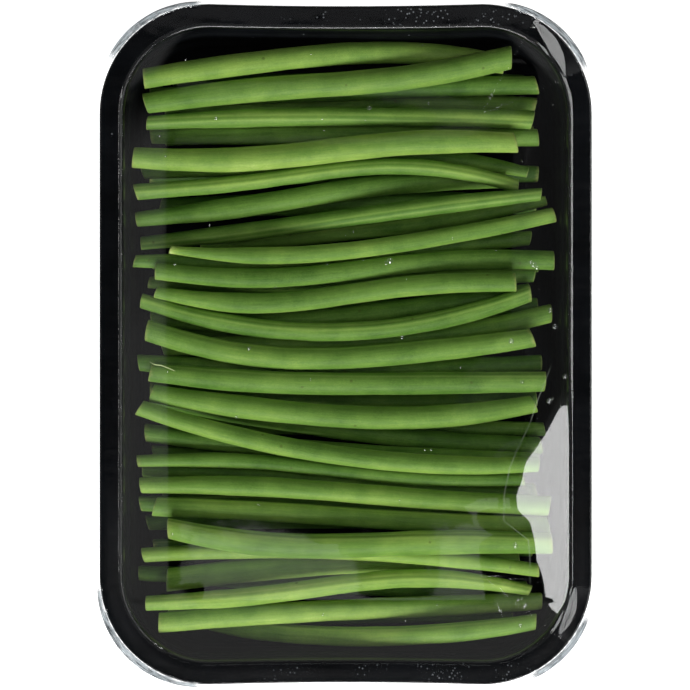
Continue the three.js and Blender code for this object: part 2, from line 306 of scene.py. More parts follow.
def makeTrayPlastic():
    # Thermoformed black polypropylene: almost black, glossy, with a faint ripple from the mould, fine
    # scuffs and dust, and pale flecks where the film's seal trapped air on the short sides of the rim
    m = newMaterial("trayPlastic", trayPlastic["sheen"])
    place = addNode(m, "TexCoord").outputs["Object"]
    cloud = noise(m, place, 60.0, 5.0, 0.6)
    scuffPlace = addNode(m, "Mapping", {"Vector": place, "Rotation": (0, 0, 0.5), "Scale": (0.12, 1, 1)})
    scuff = noise(m, scuffPlace.outputs[0], 900.0, 2.0)
    dust = addNode(m, "TexVoronoi", {"Vector": place, "Scale": 1000 / trayPlastic["dustSpacing"]})
    mote = remap(m, dust.outputs["Distance"], (0.02, 0.05), (0.35, 0.0))
    # seal flecks: only high on the rim, near the middle of each short side
    split = addNode(m, "SeparateXYZ", {"Vector": place})
    far = maths(m, "ABSOLUTE", split.outputs["Y"])
    inRim = remap(m, far, trayPlastic["sealInner"])
    beyond = remap(m, far, trayPlastic["sealOuter"], (1.0, 0.0))
    aside = maths(m, "SUBTRACT", split.outputs["X"], trayPlastic["sealX"])
    wide = maths(m, "ABSOLUTE", aside)
    middle = remap(m, wide, trayPlastic["sealEnds"], (1.0, 0.0))
    clump = noise(m, place, 110.0, 2.0)
    clumped = remap(m, clump, (0.48, 0.58))
    bubbles = addNode(m, "TexVoronoi", {"Vector": place, "Scale": 1000 / trayPlastic["sealSpacing"]})
    bubble = remap(m, bubbles.outputs["Distance"], (0.12, 0.26), (0.75, 0.0))
    zone = maths(m, "MULTIPLY", inRim, beyond)
    zoneTwo = maths(m, "MULTIPLY", zone, middle)
    zoneThree = maths(m, "MULTIPLY", zoneTwo, clumped)
    seal = maths(m, "MULTIPLY", zoneThree, bubble)
    marks = maths(m, "MAXIMUM", seal, mote)
    base = addNode(m, "ValToRGB", {"Fac": cloud}, stops=[
        (0.3, trayPlastic["colour"]), (0.75, trayPlastic["sheen"])])
    marked = mixed(m, marks, base.outputs[0], trayPlastic["mark"])
    smooth = trayPlastic["roughness"]
    gloss = remap(m, scuff, (0.35, 0.75), (smooth, smooth + trayPlastic["scuffRoughness"]))
    # the walls kept the mould's texture, and the rim was pressed smooth
    height, wallTop = split.outputs["Z"], trayPlastic["wallTop"]
    texture = remap(m, height, wallTop, (trayPlastic["wallRoughness"], 0.0))
    roughness = maths(m, "ADD", gloss, texture)
    shine = remap(m, height, wallTop, (trayPlastic["wallShine"], trayPlastic["rimShine"]))
    ripple = bump(m, cloud, 0.05, 0.0012)
    scratch = bump(m, scuff, 0.02, 0.0002, ripple)
    plastic = addNode(m, "BsdfPrincipled", {
        "Base Color": marked, "Roughness": roughness, "Normal": scratch,
        "IOR": 1.49, "Specular IOR Level": shine})
    return finish(m, plastic.outputs[0])


lidFilm = {
    "ior": 1.5, "roughness": 0.03,
    # mm: the rim's raised inner edge, under the film
    "bead": 0.144, "beadFrom": 5.3, "beadAt": 6.1, "beadTo": 6.4,
    "rippleHeight": 0.035,  # mm
    "streakWidth": 0.5, "streakLength": 5.0,  # mm, creases along the loose edge
    # the crumpled edge: painted shade and painted highlight on its creases, and the cut edge's grey
    "paintedCreaseShade": "2b3235", "paintedCreaseHighlight": "c3cdd2", "cutEdge": "5f676b",
    # the crease's pale line: partly the film's whitening, partly a painted highlight where it bends
    "foldPaleAndHighlight": "c9d6c0", "foldShare": 0.10, "foldWidth": 0.30,  # the width is half the line's, in mm
}


def clearSheet(m, ior, tint, roughness, relief=None):
    # a thin clear surface. Light passes it unbent, so both its faces are given the outside's gloss
    behind = addNode(m, "NewGeometry").outputs["Backfacing"]
    bending = {"IOR": remap(m, behind, (0, 1), (ior, 1 / ior))}
    shine = {"Color": (1, 1, 1, 1), "Roughness": roughness}
    if relief is not None:
        bending["Normal"] = shine["Normal"] = relief
    mirrored = addNode(m, "Fresnel", bending).outputs[0]
    clear = addNode(m, "BsdfTransparent", {"Color": tint}).outputs[0]
    return mixedShaders(m, mirrored, clear, addNode(m, "BsdfGlossy", shine).outputs[0])


def makeLidFilm():
    # Clear polyester lidding film: colourless, see-through and sharply glossy. It is stretched over the
    # rim's raised inner edge, whitened along a crease with a painted highlight there too, and crumpled where
    # it is cut past the corners, where it turns milky and its creases carry painted highlights and painted
    # shade
    m = newMaterial("lidFilm", "f4f8fa")
    place = addNode(m, "TexCoord").outputs["Object"]
    edge = readValue(m, "filmEdge")
    inset = readValue(m, "filmInset")
    sag = readValue(m, "filmSag")
    sagDepth = readValue(m, "filmSagDepth")
    beadShare = readValue(m, "filmBeadShare")
    fold = readValue(m, "filmFold")
    foldShare = readValue(m, "filmFoldShare")
    cut = readValue(m, "filmCut")
    along = readValue(m, "filmAlong", "Vector")
    ripple = noise(m, place, 90.0, 2.0, 0.4)
    crumple = noise(m, place, 620.0, 4.0, 0.7, 1.2)
    # heights in mm
    rippled = maths(m, "MULTIPLY", ripple, lidFilm["rippleHeight"])
    crumpled = maths(m, "MULTIPLY", crumple, edge)
    beadRise = remap(m, inset, (lidFilm["beadFrom"], lidFilm["beadAt"]), (0.0, lidFilm["bead"]))
    beadFall = remap(m, inset, (lidFilm["beadAt"], lidFilm["beadTo"]), (1.0, 0.0))
    beadWhole = maths(m, "MULTIPLY", beadRise, beadFall)
    bead = maths(m, "MULTIPLY", beadWhole, beadShare)
    sagShare = remap(m, sag, (0.0, 1.0), (-1.0, 0.0), smooth=True)
    sagged = maths(m, "MULTIPLY", sagShare, sagDepth)
    sumOne = maths(m, "ADD", rippled, bead)
    sumTwo = maths(m, "ADD", sumOne, sagged)
    sumThree = maths(m, "ADD", sumTwo, crumpled)
    relief = bump(m, sumThree, 1.0, 0.001)
    sheet = clearSheet(m, lidFilm["ior"], (1, 1, 1, 1), lidFilm["roughness"], relief)
    squeeze = lidFilm["streakWidth"] / lidFilm["streakLength"]
    stretched = addNode(m, "Mapping", {"Vector": along, "Scale": (squeeze, 1, 1)})
    streak = noise(m, stretched.outputs[0], 1000 / lidFilm["streakWidth"], 3.0, 0.7, 0.8)
    # partly real, partly painted: the crumpled film turns milky, and its dark and pale streaks are painted
    # shade and painted highlight on the creases
    frostWithCreaseLight = addNode(m, "ValToRGB", {"Fac": streak}, stops=[
        (0.36, lidFilm["paintedCreaseShade"]), (0.66, lidFilm["paintedCreaseHighlight"])])
    frostEdge = remap(m, cut, (0.45, 0.85), (0.0, 0.8))
    frostCut = mixed(m, frostEdge, frostWithCreaseLight.outputs[0], lidFilm["cutEdge"])
    frost = addNode(m, "BsdfDiffuse", {"Color": frostCut})
    frostCloud = remap(m, crumple, (0.35, 0.65), (0.95, 0.60))
    frostAmount = maths(m, "MULTIPLY", frostCloud, edge)
    frosted = mixedShaders(m, frostAmount, sheet, frost.outputs[0])
    # a faint pale line along the crease: partly the film's whitening, partly a painted highlight
    awayFromFold = maths(m, "ABSOLUTE", fold)
    span, shares = (0.02, lidFilm["foldWidth"]), (lidFilm["foldShare"], 0.0)
    whitened = remap(m, awayFromFold, span, shares, smooth=True)
    broken = remap(m, ripple, (0.40, 0.6))
    patchy = maths(m, "MULTIPLY", broken, foldShare)
    foldAmount = maths(m, "MULTIPLY", whitened, patchy)
    foldWhiteningAndHighlight = addNode(m, "BsdfDiffuse", {"Color": linearColour(lidFilm["foldPaleAndHighlight"])})
    return finish(m, mixedShaders(m, foldAmount, frosted, foldWhiteningAndHighlight.outputs[0]))


waterBead = {"ior": 1.8, "tint": (0.97, 0.98, 0.97, 1), "roughness": 0.07}


def makeWaterBead():
    # Drops of condensed water: clear and smooth, seen by their small bright glints. Two surfaces, water on
    # film and film on water, shine from one dome here, so its IOR is above water's 1.33
    m = newMaterial("waterBead", "f4f8fa")
    return finish(m, clearSheet(m, waterBead["ior"], waterBead["tint"], waterBead["roughness"]))


skinMaterial = makePodSkin()
fleshMaterial = makePodFlesh()
plasticMaterial = makeTrayPlastic()
filmMaterial = makeLidFilm()
beadMaterial = makeWaterBead()
print("materials made")


# ---- Beans


beans = {
    "rings": 84, "sides": 32,
    "crowding": 0.45,  # how much closer together the rings lie near the ends
    "flatness": 0.04,  # how much thinner a pod is through its seams' side
    "seedSpacing": 11.5, "seedSwell": 0.018,  # mm between seeds, and how much each swells the pod
    "seedFade": 47,  # mm from one run of plump seeds to the next
    "unevenness": 0.022, "slowSizes": (24, 34), "quickSizes": (13, 19),  # mm, the wavelengths' ranges
    # a seam's ridge and the dips beside it: their heights, and their widths and the dips' place in radians
    "seamRidge": 0.022, "dipShare": 0.7, "ridgeWidth": 0.16, "dipAt": 0.30, "dipWidth": 0.12,
    "layerEnds": (13, 29),  # how many beans lie on the floor, and on the floor and on those
    # places on the skin's green ramp of the lowest, middle and top beans, set lower for the deeper beans as
    # painted shade, and how far single ones differ
    "layerShadeTones": (0.26, 0.36, 0.50), "toneSpread": 0.09,
    # how far the tone changes along a bean, over how many mm, and round it twice and three times
    "toneAlong": 0.05, "toneSize": 70, "toneTwice": 0.07, "toneThrice": 0.04,
    "cutLeanReach": 5.0,  # mm over which the slant of a cut fades into the pod
    "skinStep": 150.0,  # mm, more than a bean, by which each bean's skin pattern is moved on
    "endReach": 2.2, "dryness": (0.35, 1.0),  # mm of skin that dries beside a cut, and how much
    "paleStem": {"bean_39": 3.0}, "paleShare": 0.6,  # mm over which a stem's neck turns pale
}
# radians by which a bean is rolled about its length, where its seam shows
seamUp = {"bean_32": 1.7, "bean_34": 1.45, "bean_37": 1.9, "bean_40": 1.1, "bean_51": 0.8, "bean_54": 1.35}
# places on the green ramp of the top beans
toneOf = {
    "bean_30": 0.60, "bean_31": 0.52, "bean_32": 0.48, "bean_33": 0.40, "bean_34": 0.52, "bean_35": 0.66,
    "bean_36": 0.47, "bean_37": 0.39, "bean_38": 0.41, "bean_39": 0.53, "bean_40": 0.45, "bean_41": 0.47,
    "bean_42": 0.49, "bean_43": 0.43, "bean_44": 0.50, "bean_45": 0.40, "bean_46": 0.50, "bean_47": 0.55,
    "bean_48": 0.55, "bean_49": 0.58, "bean_50": 0.65, "bean_51": 0.53, "bean_52": 0.58, "bean_53": 0.63,
    "bean_54": 0.65,
}
# each end from the skin inwards: share of the radius, and mm outwards along the bean
cutRows = [
    (1.0, -0.35), (0.985, -0.12), (0.93, 0.0), (0.80, -0.04), (0.62, -0.16), (0.45, -0.42), (0.26, -0.66)]


def readBean(node):
    # the solid's corners, sorted along X and split into its ten rings: centres, radii and each end's slant
    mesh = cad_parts[node].data
    corners = np.zeros(len(mesh.vertices) * 3, np.float32)
    mesh.vertices.foreach_get("co", corners)
    corners = np.unique(np.round(corners.reshape(-1, 3) * 1000, 3), axis=0)
    corners = corners[np.argsort(corners[:, 0])]
    rings = np.split(corners, np.flatnonzero(np.diff(corners[:, 0]) > 4) + 1)
    centres = np.array([r.mean(axis=0) for r in rings])
    along = np.gradient(centres, axis=0)
    along /= np.linalg.norm(along, axis=1)[:, None]
    radii, slants = [], []
    for ring, centre, way in zip(rings, centres, along):
        off = ring - centre
        ahead = off @ way
        square = off - ahead[:, None] * way
        far = np.linalg.norm(square, axis=1)
        radii.append(far[far > 0.5].mean())
        slants.append(np.linalg.lstsq(square, ahead, rcond=0.1)[0])
    return centres, np.array(radii), slants[0], slants[-1]


def curveThrough(knots, t):
    # a smooth curve through evenly numbered knots: cubic pieces whose slopes are the neighbours' mean slope
    slopes = np.gradient(knots, axis=0)
    last = len(knots) - 1
    i = np.clip(np.floor(t * last).astype(int), 0, last - 1)
    f = (t * last - i).reshape((-1,) + (1,) * (knots.ndim - 1))
    a, b = 2 * f ** 3 - 3 * f ** 2 + 1, f ** 3 - 2 * f ** 2 + f
    c, d = 3 * f ** 2 - 2 * f ** 3, f ** 3 - f ** 2
    return a * knots[i] + b * slopes[i] + c * knots[i + 1] + d * slopes[i + 1]


def nearCut(distance):
    # 1 at a cut, falling to 0
    return smoothStep(1 - distance / beans["cutLeanReach"])[:, None]


def makeBean(node, number):
    # A pod: circles carried along the solid's centreline, each pushed out by seeds, seams and slow
    # unevenness, and closed at both ends by a slanted cut with a shallow seed hollow
    centres, radii, slantLeft, slantRight = readBean(node)
    pick = np.random.default_rng(500 + number)
    s = np.linspace(0, 1, beans["rings"])
    t = (1 - beans["crowding"]) * s + beans["crowding"] * (0.5 - 0.5 * np.cos(math.pi * s))
    n = len(cutRows)
    rowT = np.concatenate([np.zeros(n), t[1:-1], np.ones(n)])
    scale = np.array([r for r, _ in cutRows[::-1]] + [1.0] * (len(t) - 2) + [r for r, _ in cutRows])
    push = np.array([-p for _, p in cutRows[::-1]] + [0.0] * (len(t) - 2) + [p for _, p in cutRows])
    middle = curveThrough(centres, rowT)
    length = np.linalg.norm(np.diff(centres, axis=0), axis=1).sum()
    ahead, behind = np.clip(rowT + 0.004, 0, 1), np.clip(rowT - 0.004, 0, 1)
    way = curveThrough(centres, ahead) - curveThrough(centres, behind)
    way /= np.linalg.norm(way, axis=1)[:, None]
    side = np.cross([0, 0, 1], way)
    side /= np.linalg.norm(side, axis=1)[:, None]
    up = np.cross(way, side)
    turn = circle(beans["sides"])
    roll = seamUp.get(node, pick.uniform(-0.6, 0.6)) + pick.uniform(-0.5, 0.5) * (rowT - 0.5)
    around = turn - roll[:, None]  # angle from the seam
    mm = (rowT * length)[:, None]
    radius = curveThrough(radii, rowT)[:, None]
    seeds = np.cos(2 * math.pi * mm / beans["seedSpacing"] + pick.uniform(0, 6))
    seeds = seeds * np.abs(np.sin(around)) ** 1.5
    seeds = seeds * (0.5 + 0.5 * np.sin(2 * math.pi * mm / beans["seedFade"] + pick.uniform(0, 6)))
    slow = np.sin(2 * math.pi * mm / pick.uniform(*beans["slowSizes"]) + pick.uniform(0, 6))
    quickSize = pick.uniform(*beans["quickSizes"])
    slow = slow + 0.7 * np.sin(2 * math.pi * mm / quickSize + around + pick.uniform(0, 6))
    fromSeam = np.sin(around / 2) * 2
    dips = np.exp(-((np.abs(fromSeam) - beans["dipAt"]) / beans["dipWidth"]) ** 2)
    ridge = np.exp(-(fromSeam / beans["ridgeWidth"]) ** 2) - beans["dipShare"] * dips
    bulge = 1 + beans["seedSwell"] * seeds + beans["unevenness"] * 0.5 * slow + beans["seamRidge"] * ridge
    bulge = bulge - beans["flatness"] * (0.5 - 0.5 * np.cos(2 * around))
    reach = radius * bulge * scale[:, None]
    sideways = np.cos(turn)[..., None] * side[:, None, :] + np.sin(turn)[..., None] * up[:, None, :]
    offset = reach[..., None] * sideways
    leanLeft = nearCut(rowT * length) * (offset @ slantLeft)
    leanRight = nearCut((1 - rowT) * length) * (offset @ slantRight)
    points = middle[:, None, :] + offset + (leanLeft + leanRight + push[:, None])[..., None] * way[:, None, :]
    rows, columns = points.shape[:2]
    total = rows * columns
    faces = [f[::-1] for f in gridFaces(rows, columns)]
    faces += fanFaces(0, columns, total) + fanFaces(total - columns, columns, total + 1, flipped=True)
    everyPoint = np.vstack([points.reshape(-1, 3), points[0].mean(axis=0), points[-1].mean(axis=0)])
    fleshRows = np.zeros(rows - 1, bool)
    fleshRows[:n - 2] = fleshRows[-(n - 2):] = True
    faceMaterial = np.concatenate([np.repeat(fleshRows, columns), np.ones(2 * columns, bool)]).astype(int)
    piece = makePiece("fineBean_" + node[-2:], everyPoint, faces, [skinMaterial, fleshMaterial], node,
        faceMaterial)
    # the same points with the bean laid straight, each bean in a place of its own
    straightX = np.broadcast_to(mm + push[:, None] + number * beans["skinStep"], reach.shape)
    straight = np.stack([straightX, reach * np.cos(around), reach * np.sin(around)], axis=-1).reshape(-1, 3)
    straight = np.vstack([straight, straight[0] * [1, 0, 0], straight[-1] * [1, 0, 0]])
    addAttribute(piece, "podPlace", straight * 0.001)
    # painted shade: a bean lower in the pile starts lower on the green ramp, so it is darker
    layer = sum(number >= end for end in beans["layerEnds"])
    base = toneOf.get(node, beans["layerShadeTones"][layer] + pick.uniform(-1, 1) * beans["toneSpread"])
    wave = np.sin(2 * math.pi * mm / beans["toneSize"] + pick.uniform(0, 6))
    tone = base + beans["toneAlong"] * wave + beans["toneTwice"] * np.cos(2 * around)
    tone = tone + beans["toneThrice"] * np.sin(around * 3 + pick.uniform(0, 6))
    if node in beans["paleStem"]:
        tone = tone + beans["paleShare"] * np.exp(-mm / beans["paleStem"][node])
    addAttribute(piece, "podToneAndShade", np.append(tone.ravel(), [base, base]))
    toCut = np.minimum(rowT, 1 - rowT) * length
    dryness = pick.uniform(*beans["dryness"], 2)
    near = np.exp(-toCut / beans["endReach"]) * np.where(rowT < 0.5, dryness[0], dryness[1])
    near = np.where(scale < 0.99, scale, near)  # on the flesh it tells the middle from the rim
    addAttribute(piece, "podEnd", np.append(np.repeat(near, columns), [0.2, 0.2]))
    return points.reshape(-1, 3)


beanNodes = sorted(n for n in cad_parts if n.startswith("bean_"))
beanPoints = np.vstack([makeBean(node, i) for i, node in enumerate(beanNodes)])
print("beans made:", len(beanNodes))


# ---- Tray


tray = {
    "halfWidth": 68.5, "halfLength": 94.7, "corner": 30.5, "waist": 0.6,
    "rimTop": 25.0, "rimInner": 6.5, "skin": 0.8, "floorTop": 3.4,
    "cornerSteps": 22, "sideSteps": 14,
}


def waistPull(x, y):
    # how far the short sides' middles are drawn in, in mm of Y
    share = np.maximum(0, 1 - (x / (tray["halfWidth"] - tray["corner"])) ** 2)
    return np.sign(y) * tray["waist"] * share * (np.abs(y) / tray["halfLength"]) ** 4


def outline(inset):
    # a rounded rectangle taken in by the inset, anticlockwise
    corner = tray["corner"] - inset
    a, b = tray["halfWidth"] - inset - corner, tray["halfLength"] - inset - corner
    centres = np.array([(a, b), (-a, b), (-a, -b), (a, -b)])
    quarter = np.linspace(0, math.pi / 2, tray["cornerSteps"])
    share = np.linspace(0, 1, tray["sideSteps"] + 1)[1:-1, None]
    pieces = []
    for k in range(4):
        turn = quarter + k * math.pi / 2
        arc = centres[k] + corner * np.stack([np.cos(turn), np.sin(turn)], axis=1)
        nextTurn = (k + 1) * math.pi / 2
        begin = centres[(k + 1) % 4] + corner * np.array([math.cos(nextTurn), math.sin(nextTurn)])
        pieces += [arc, arc[-1] * (1 - share) + begin * share]
    p = np.vstack(pieces)
    p[:, 1] -= waistPull(p[:, 0], p[:, 1])
    return p


def roundedSection(corners, radius, steps=4):
    # a section whose corners are replaced by short parabolas, so that its edges catch the light
    corners = np.asarray(corners, float)
    points = [corners[0]]
    for before, here, after in zip(corners[:-2], corners[1:-1], corners[2:]):
        back, ahead = before - here, after - here
        cutBack = here + back * min(0.45, radius / np.linalg.norm(back))
        cutAhead = here + ahead * min(0.45, radius / np.linalg.norm(ahead))
        u = np.linspace(0, 1, steps)[:, None]
        points += list((1 - u) ** 2 * cutBack + 2 * u * (1 - u) * here + u ** 2 * cutAhead)
    return np.array(points + [corners[-1]])


def makeTray():
    # The section, as inset and height in mm, is carried round the outline: up the outside, over the rim
    # and down the inside to the raised floor
    rim, skin, floorTop = tray["rimTop"], tray["skin"], tray["floorTop"]
    outer = [
        (19.4, floorTop - skin), (18.0, 0), (12.2, 0), (10.1, 1.3), (9.1, 4.2), (8.3, 10.8),
        (7.55, rim - 6.3), (6.65, rim - 5.3), (6.25, rim - 1.8), (5.8, rim - skin), (skin, rim - skin),
        (skin, rim - 2.2)]
    edge = [(0.0, rim - 2.2), (0.0, rim - 0.3), (0.12, rim - 0.08), (0.35, rim)]
    inner = [
        (6.3, rim), (6.9, rim - 1.0), (7.4, rim - 4.8), (8.3, rim - 5.8), (9.1, 11), (9.9, 4.6), (10.9, 2.2),
        (12.7, skin), (17.6, skin), (19.0, floorTop)]
    section = np.vstack([roundedSection(outer, 0.5), edge, roundedSection([(0.6, rim)] + inner, 0.6)])
    points = np.stack([np.insert(outline(inset), 2, height, axis=1) for inset, height in section])
    rows, columns = points.shape[:2]
    total = rows * columns
    faces = gridFaces(rows, columns)
    faces += fanFaces(0, columns, total, flipped=True) + fanFaces(total - columns, columns, total + 1)
    poles = [[0, 0, section[0][1]], [0, 0, section[-1][1]]]
    everyPoint = np.vstack([points.reshape(-1, 3), poles])
    makePiece("producTray", everyPoint, faces, [plasticMaterial], "tray")


makeTray()
print("tray made")


# ---- Film


film = {
    "overhang": 0.7, "corner": 28.3, "thickness": 0.08,
    "columns": 184, "rows": 252,
    "sealHeight": 25.06, "clearance": 0.08,
    # mm over the seal, down the tray, and Y where the second and third begin and are reached
    "topRise": 0.75, "middleRise": 1.45, "lowRise": 1.95, "middleSpan": (72, 52), "lowSpan": (20, -40),
    # the share by which the film lies lower at the upper right, and X and Y where that comes in
    "dip": 0.45, "dipX": (5, 50), "dipY": (-14, 6),
    "unevenness": 0.012,  # mm
    "beltWidth": 13.0,  # mm from the rim to the beans' left ends
    "rightSlope": 0.05, "facetSlope": 0.17, "bottomSlope": 0.12, "topSlope": 0.05,
    # the right side steepens from the one slope to the other as Y falls: how far down, in mm, at the rim
    "facetSpan": (3, 23),
    # the steepest rise from the rim along the sides and at the corners
    "sideLimit": 0.25, "cornerSlope": 0.10,
    "creaseRadius": 0.05,  # mm of height within which two slopes blend
    # Y and X of the line where the film leaves the beans at the lower right
    "contact": [
        (-14.1, 60.0), (-22.5, 54.0), (-26.6, 50.7), (-35.0, 49.0), (-37.8, 48.5), (-41.9, 46.8),
        (-46.1, 47.2), (-48.9, 50.7), (-54.5, 52.1), (-60.0, 52.7), (-64.2, 54.3), (-71.2, 55.4),
        (-80.0, 53.5)],
    # Y and X of a crease pressed into the film over the beans' right ends
    "fold": [
        (-3.0, 58.5), (-13.8, 54.0), (-27.8, 48.5), (-34.7, 44.9), (-48.9, 43.7), (-54.3, 50.9),
        (-62.3, 51.5), (-67.5, 51.3), (-72.0, 48.6), (-77.8, 48.8)],
    "foldSpan": (-78, -3), "foldFade": 6,  # Y over which that crease shows, and mm in which it fades
    # how much of the bead shows past the given degrees round the upper and the lower corners
    "beadTop": 0.5, "beadBottom": 0.08, "beadTurn": (48, 68),
    "sag": 0.15,  # how steeply the film falls outwards on the rim's two right-hand corners
    "sagX": 38, "sagTip": 0.2,  # X beyond which it does, and mm of half width at its tips
    # there: degrees round the corner from and to, mm inside the edge at each, and half the width in mm
    "sagTop": (23, 61, 5.4, 1.4, 2.6), "sagBottom": (6, 39, 4.4, 3.6, 2.0),
    # degrees round each corner where the loose edge is crumpled, by the signs of X and Y
    "loose": {(-1, 1): (31, 85), (1, 1): (25, 76), (-1, -1): (8, 85), (1, -1): (23, 63)},
    "edgeWave": 0.35, "edgeDroop": 0.25,  # mm by which the edge past the tray waves and droops
    "passes": 80, "pull": 0.8,  # of smoothing over the beans
}


def lineAt(points, y):
    # X of a line given by its Y and X, at any Y
    line = np.array(sorted(points))
    return np.interp(y, line[:, 0], line[:, 1])


def filmPlan():
    # A square grid laid on the film's rounded outline: flat in the middle, each corner's squares bent into
    # a quarter disc. Gives X, Y and how far inside the tray's outer edge each point lies
    w, l = tray["halfWidth"] + film["overhang"], tray["halfLength"] + film["overhang"]
    c = film["corner"]
    x, y = np.meshgrid(np.linspace(-w, w, film["columns"]), np.linspace(-l, l, film["rows"]))
    p, q = np.maximum(np.abs(x) - (w - c), 0) / c, np.maximum(np.abs(y) - (l - c), 0) / c
    x = np.sign(x) * (np.minimum(np.abs(x), w - c) + c * p * np.sqrt(1 - q * q / 2))
    y = np.sign(y) * (np.minimum(np.abs(y), l - c) + c * q * np.sqrt(1 - p * p / 2))
    dx = np.abs(x) - (tray["halfWidth"] - tray["corner"])
    dy = np.abs(y) - (tray["halfLength"] - tray["corner"])
    atCorner = np.hypot(np.maximum(dx, 0), np.maximum(dy, 0))
    inset = tray["corner"] - np.where((dx > 0) & (dy > 0), atCorner, np.maximum(dx, dy))
    return x, y - waistPull(x, y), inset


def cornerTurn(x, y):
    # degrees round the nearest corner, from 0 at the long side to 90 at the short side
    return np.degrees(np.arctan2(np.abs(y) - (tray["halfLength"] - tray["corner"]),
        np.abs(x) - (tray["halfWidth"] - tray["corner"])))


def filmLift(x, y, inset):
    # Height over the seal: the lowest of five slopes that rise from the rim and of the roof that the beans
    # hold up, blended where they meet
    a, b = tray["halfWidth"] - tray["rimInner"], tray["halfLength"] - tray["rimInner"]
    roof = film["topRise"] + (film["middleRise"] - film["topRise"]) * ease(y, *film["middleSpan"])
    roof = roof + (film["lowRise"] - film["middleRise"]) * ease(y, *film["lowSpan"])
    leftSlope = roof / film["beltWidth"]
    roof = roof * (1 - film["dip"] * ease(x, *film["dipX"]) * ease(y, *film["dipY"]))
    facet = ease(-y - (a - x), *film["facetSpan"])
    rightSlope = film["rightSlope"] + (film["facetSlope"] - film["rightSlope"]) * facet
    contact = lineAt(film["contact"], y)
    held = film["facetSlope"] * (a - contact)
    roof = roof + (held - roof) * ease(x - contact, -17, -2) * ease(y, -12, -22)
    roof = roof + film["unevenness"] * waves(x * 0.4, y, 3, (14, 30))
    turn = cornerTurn(x, y)
    atCorner = ease(turn, 14, 26) * ease(turn, 76, 64)
    limit = film["sideLimit"] + (film["cornerSlope"] - film["sideLimit"]) * atCorner
    heights = [
        roof, leftSlope * (x + a), rightSlope * (a - x), film["bottomSlope"] * (y + b),
        film["topSlope"] * (b - y), limit * (inset - tray["rimInner"])]
    k = film["creaseRadius"]
    lift = -k * np.log(sum(np.exp(-h / k) for h in heights))
    return np.where(inset > tray["rimInner"], np.maximum(lift, 0), 0)


def beanTops(x, y):
    # the beans' highest points, in squares of a millimetre and their neighbours
    rows, columns = 220, 160
    tops = np.zeros((rows, columns))
    row = np.round(beanPoints[:, 1]).astype(int) + rows // 2
    column = np.round(beanPoints[:, 0]).astype(int) + columns // 2
    np.maximum.at(tops, (row, column), beanPoints[:, 2])
    for shift in ((0, 1), (0, -1), (1, 0), (-1, 0)):
        tops = np.maximum(tops, np.roll(tops, shift, (0, 1)))
    return tops[np.round(y).astype(int) + rows // 2, np.round(x).astype(int) + columns // 2]


def markFilm(piece, x, y, inset):
    # what the film's material reads at each point
    turn = cornerTurn(x, y)
    sag, sagDepth = np.zeros(x.shape), np.zeros(x.shape)
    for way, (begin, end, insetBegin, insetEnd, half) in ((1, film["sagTop"]), (-1, film["sagBottom"])):
        share = np.clip((turn - begin) / (end - begin), 0, 1)
        half = np.maximum(half * np.sin(math.pi * share) ** 0.8, film["sagTip"])
        here = (x > film["sagX"]) & (y * way > 0) & (share > 0) & (share < 1)
        across = (inset - insetBegin - (insetEnd - insetBegin) * share + half) / (2 * half)
        sag = np.where(here, np.clip(across, -1, 2), sag)
        sagDepth = np.where(here, film["sag"] * 2 * (half - film["sagTip"]), sagDepth)
    beadLost = np.where(y > 0, 1 - film["beadTop"], 1 - film["beadBottom"])
    beadShare = 1 - beadLost * ease(turn, *film["beadTurn"])
    loose = np.zeros(x.shape)
    for (signX, signY), (begin, end) in film["loose"].items():
        span = ease(turn, begin - 4, begin + 4) * ease(turn, end + 4, end - 4)
        loose = np.where((x * signX > 0) & (y * signY > 0), span, loose)
    loose = loose * np.clip(-inset / 0.25, 0, 1)
    low, high = film["foldSpan"]
    fold = x - lineAt(film["fold"], y) + 0.5 * waves(0 * x, y, 12, (6, 20), 3)
    foldShare = ease(y, high, high - film["foldFade"]) * ease(y, low, low + film["foldFade"])
    cut = np.zeros(x.shape)
    cut[[0, -1], :] = cut[:, [0, -1]] = 1
    marks = {
        "filmEdge": loose, "filmInset": inset, "filmSag": sag, "filmSagDepth": sagDepth,
        "filmBeadShare": beadShare, "filmFold": fold, "filmFoldShare": foldShare, "filmCut": cut}
    for name, values in marks.items():
        addAttribute(piece, name, np.concatenate([values.ravel(), values.ravel()]))
    # metres round the edge and inwards, for the creases along it; the sign of Y sets the ends apart
    around = np.radians(turn) * tray["corner"] * 0.001 * np.sign(x) + np.sign(y) * 0.2
    along = np.stack([around, inset * 0.001, 0 * x], axis=-1).reshape(-1, 3)
    addAttribute(piece, "filmAlong", np.vstack([along, along]))


